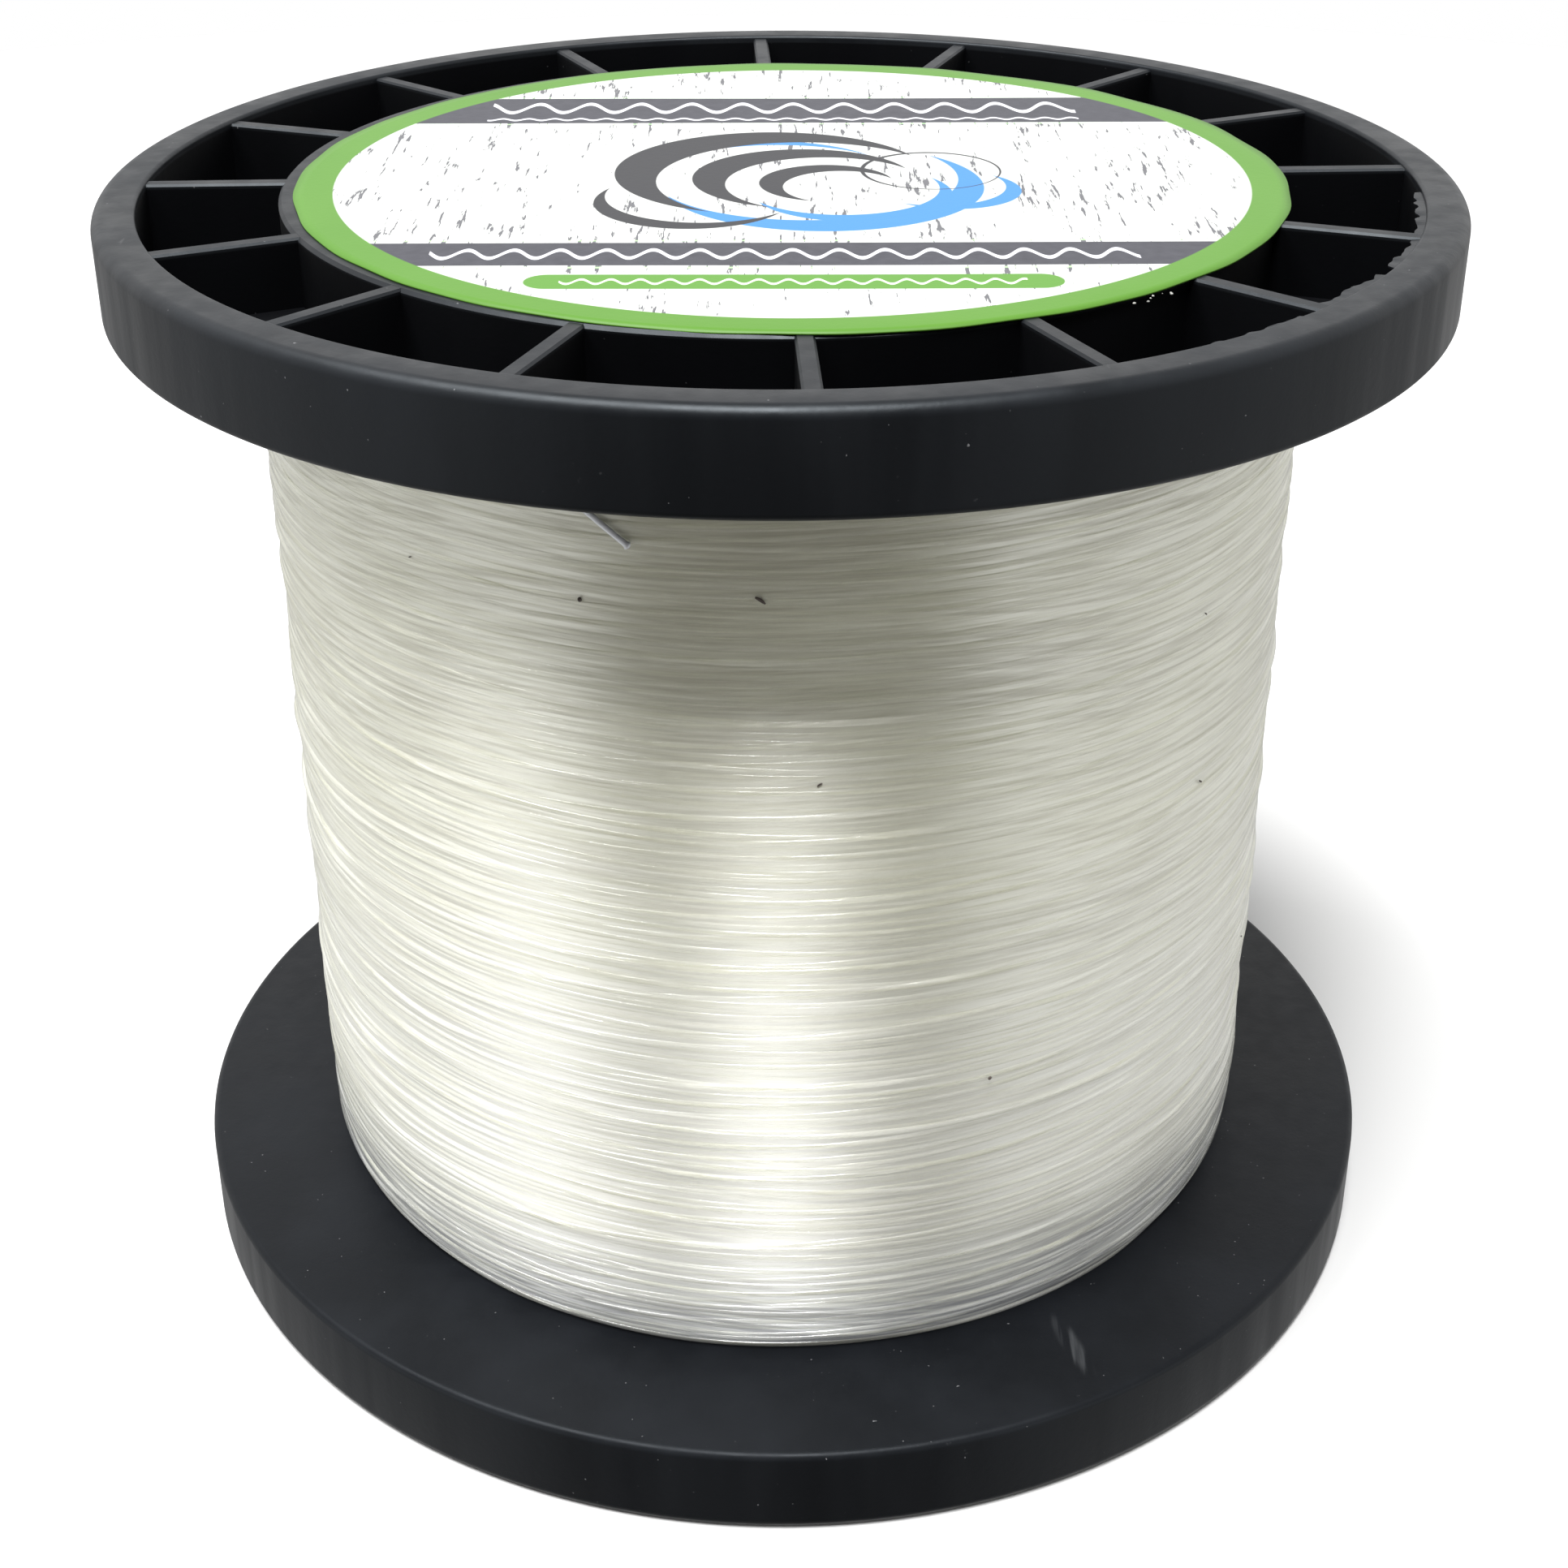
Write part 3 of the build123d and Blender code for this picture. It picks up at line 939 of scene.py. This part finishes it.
def build_flash(material):
    """Thin ragged moulding flash along part of the top rim's inner edge.
    Each span is its first and last degree from the front, towards +X, and its width."""
    rng = np.random.default_rng(SEED + 5)
    spans = [(8.0, 11.0, 0.4), (14.0, 19.0, 0.4), (24.0, 45.0, 0.6), (47.0, 58.0, 1.1), (60.0, 84.0, 0.8)]
    points = []
    faces = []
    for first, last, width in spans:
        steps = int((last - first) * 3)
        angles = np.radians(np.linspace(first, last, steps + 1))
        jag = blur(rng.uniform(0.0, 1.0, steps + 1), 1.2)
        reach = width * (0.35 + 1.3 * jag)
        reach[0] = 0.05
        reach[-1] = 0.05
        lift = blur(rng.uniform(-0.15, 0.15, steps + 1), 1.5)
        base = len(points)
        for a, inwards, up in zip(angles, reach, lift):
            r0 = RIM_INNER_RADIUS + 0.35
            r1 = RIM_INNER_RADIUS - inwards
            for r, z in ((r0, 107.62), (r1, 107.55 + up), (r1, 107.43 + up), (r0, 107.40)):
                points.append((r * math.sin(a), -r * math.cos(a), z))
        for i in range(steps):
            here = base + i * 4
            after = here + 4
            for k in range(4):
                m = (k + 1) % 4
                faces.append((here + k, here + m, after + m, after + k))
        faces.append(tuple(base + k for k in range(4)))
        faces.append(tuple(base + steps * 4 + k for k in reversed(range(4))))
    obj = mesh_object("rim_flash", points, faces, smooth=False)
    obj.data.materials.append(material)
    return obj


# ---------------------------------------------------------------- studio

def strip_light(name, start, end, width, power):
    """A long soft box whose middle line runs from start to end, in metres, and which faces the spool."""
    start = Vector(start)
    end = Vector(end)
    middle = (start + end) / 2.0
    back = (middle - Vector((0.0, 0.0, 0.05))).normalized()
    along = (end - start).normalized()
    across = back.cross(along).normalized()
    along = across.cross(back)
    data = bpy.data.lights.new(name, "AREA")
    data.shape = "RECTANGLE"
    data.size = (end - start).length
    data.size_y = width
    data.energy = power
    obj = bpy.data.objects.new(name, data)
    rotation = Matrix((along, across, back)).transposed()
    obj.matrix_world = Matrix.Translation(middle) @ rotation.to_4x4()
    bpy.context.scene.collection.objects.link(obj)
    return obj


def build_floor():
    """A pale floor. Reflections don't see it, so that they see the room below it, as in a light tent."""
    material, net = new_material("floor_paper")
    cloud = net.noise(net.object_point((1.0, 1.0, 1.0)), 6.0, 3.0, 0.5)
    tone = net.mix(cloud, (0.43, 0.43, 0.427, 1.0), (0.45, 0.45, 0.45, 1.0))
    shader = net.principled(Base_Color=tone)
    shader.inputs["Roughness"].default_value = 0.9
    shader.inputs["Specular IOR Level"].default_value = 0.1
    turn = [2.0 * math.pi * i / FLOOR_SEGMENTS for i in range(FLOOR_SEGMENTS)]
    edge = [(FLOOR_RADIUS * math.cos(a), FLOOR_RADIUS * math.sin(a), -0.02) for a in turn]
    obj = mesh_object("floor", edge, [tuple(range(FLOOR_SEGMENTS))], smooth=False)
    obj.data.materials.append(material)
    obj.visible_glossy = False
    return obj


def build_world():
    """Pale room all round, a darker ceiling, a dim warm area in front, and plain white as the backdrop."""
    world = bpy.data.worlds.new("room")
    world.use_nodes = True
    bpy.context.scene.world = world
    net = Net(world.node_tree)
    coord = net.nodes.new("ShaderNodeTexCoord")
    split = net.nodes.new("ShaderNodeSeparateXYZ")
    net.put(split.inputs[0], coord.outputs["Generated"])
    side = net.math("ABSOLUTE", split.outputs["X"])
    narrow = net.ramp(side, 0.42, 0.70, 1.0, 0.0)
    front = net.ramp(split.outputs["Y"], -0.35, -0.15, 1.0, 0.0)
    below = net.ramp(split.outputs["Z"], 0.62, 0.80, 1.0, 0.0)
    dim = net.math("MULTIPLY", net.math("MULTIPLY", narrow, front), below)
    ceiling = net.ramp(split.outputs["Z"], 0.70, 0.86)
    rise = net.ramp(split.outputs["Z"], -0.25, 0.25)
    walls = net.mix(rise, (0.70, 0.70, 0.70, 1.0), (1.32, 1.32, 1.32, 1.0))
    room = net.mix(ceiling, walls, (0.22, 0.22, 0.22, 1.0))
    room = net.mix(dim, room, (0.035, 0.026, 0.018, 1.0))
    light_path = net.nodes.new("ShaderNodeLightPath")
    colour = net.mix(light_path.outputs["Is Camera Ray"], room, (1.0, 1.0, 1.0, 1.0))
    shader = net.node("ShaderNodeBackground", Color=colour)
    shader.inputs["Strength"].default_value = 1.0
    out = net.nodes.new("ShaderNodeOutputWorld")
    world.node_tree.links.new(shader.outputs[0], out.inputs["Surface"])


def build_camera():
    """The photograph's view: from the front, looking down about 27 degrees."""
    data = bpy.data.cameras.new("camera")
    data.sensor_width = 36.0
    data.lens = 55.256
    data.shift_y = -0.055
    data.clip_start = 0.01
    data.clip_end = 50.0
    obj = bpy.data.objects.new("camera", data)
    pitch = 0.4773
    roll = -0.0024
    forward = Vector((0.00076, math.cos(pitch), -math.sin(pitch))).normalized()
    right = forward.cross(Vector((0.0, 0.0, 1.0))).normalized()
    up = right.cross(forward)
    turned = right * math.cos(roll) + up * math.sin(roll)
    up = turned.cross(forward)
    rotation = Matrix((turned, up, -forward)).transposed()
    obj.matrix_world = Matrix.Translation(Vector((0.0, -0.22182, 0.16746))) @ rotation.to_4x4()
    bpy.context.scene.collection.objects.link(obj)
    bpy.context.scene.camera = obj


# ---------------------------------------------------------------- assembly

def dress(piece):
    """A piece rides on the spool's one body."""
    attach(piece, "root")


def repaint(node, material):
    """Gives a CAD piece a Blender material and leaves its shape alone."""
    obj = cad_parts[node]
    obj.data.materials.clear()
    obj.data.materials.append(material)


def build():
    """Makes every piece of the spool."""
    plastic = black_plastic("spool_black", (0.0030, 0.0034, 0.0042, 1.0), 0.36, 0.50)
    barrel_plastic = black_plastic("barrel_black", (0.0050, 0.0052, 0.0058, 1.0), 0.34, 0.50)
    top = build_flange("top_flange_body", TOP_RIB_PHASE, True, plastic)
    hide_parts("top_flange")
    dress(top)
    bottom = build_flange("bottom_flange_body", BOTTOM_RIB_PHASE, False, plastic)
    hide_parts("bottom_flange")
    dress(bottom)
    repaint("barrel", barrel_plastic)
    tape = simple_detail("tape_film", (0.62, 0.58, 0.42, 1.0), (0.72, 0.68, 0.50, 1.0), 500.0, 0.35)
    repaint("anchor_tape", tape)

    line = nylon("line_nylon", (0.412, 0.415, 0.316, 1.0), (0.248, 0.245, 0.180, 1.0), 4.0)
    strand = clear_strand("clear_line", (1.0, 1.0, 0.965, 1.0), (0.87, 0.87, 0.78, 1.0))
    strands, surface = build_strands(strand)
    core = build_core(surface, line)
    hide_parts("line_winding")
    dress(core)

    # Clear line hardly darkens what is behind it, so the strands are seen directly only.
    for part in strands:
        part.visible_shadow = False
        part.visible_diffuse = False
        part.visible_glossy = False
        dress(part)

    tail_line = nylon("tail_nylon", (0.42, 0.43, 0.45, 1.0), (0.35, 0.36, 0.38, 1.0), 0.0)
    tail = build_tail(surface, tail_line)
    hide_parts("line_tail")
    dress(tail)

    dust = simple_detail("lint", (0.02, 0.018, 0.015, 1.0), (0.07, 0.05, 0.04, 1.0), 3000.0, 0.7)
    lint = build_lint(surface, dust)
    dress(lint)

    label = build_label(label_print("label_print"))
    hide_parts("label")
    dress(label)

    glue = simple_detail("dry_adhesive", (0.14, 0.14, 0.13, 1.0), (0.24, 0.24, 0.22, 1.0), 2500.0, 0.6)
    crumbs = build_crumbs(glue)
    dress(crumbs)

    flash = build_flash(plastic)
    dress(flash)


build()
build_floor()
build_world()
build_camera()
strip_light("key_left", (-0.66, -0.45, 1.1), (-0.36, 0.20, 1.1), 0.46, 22.0)
strip_light("over_front", (-0.02, -0.64, 1.1), (-0.02, -0.12, 1.1), 0.28, 28.0)

scene = bpy.context.scene
scene.view_settings.view_transform = "Standard"
scene.view_settings.look = "None"
scene.view_settings.exposure = 0.0
scene.view_settings.gamma = 1.0
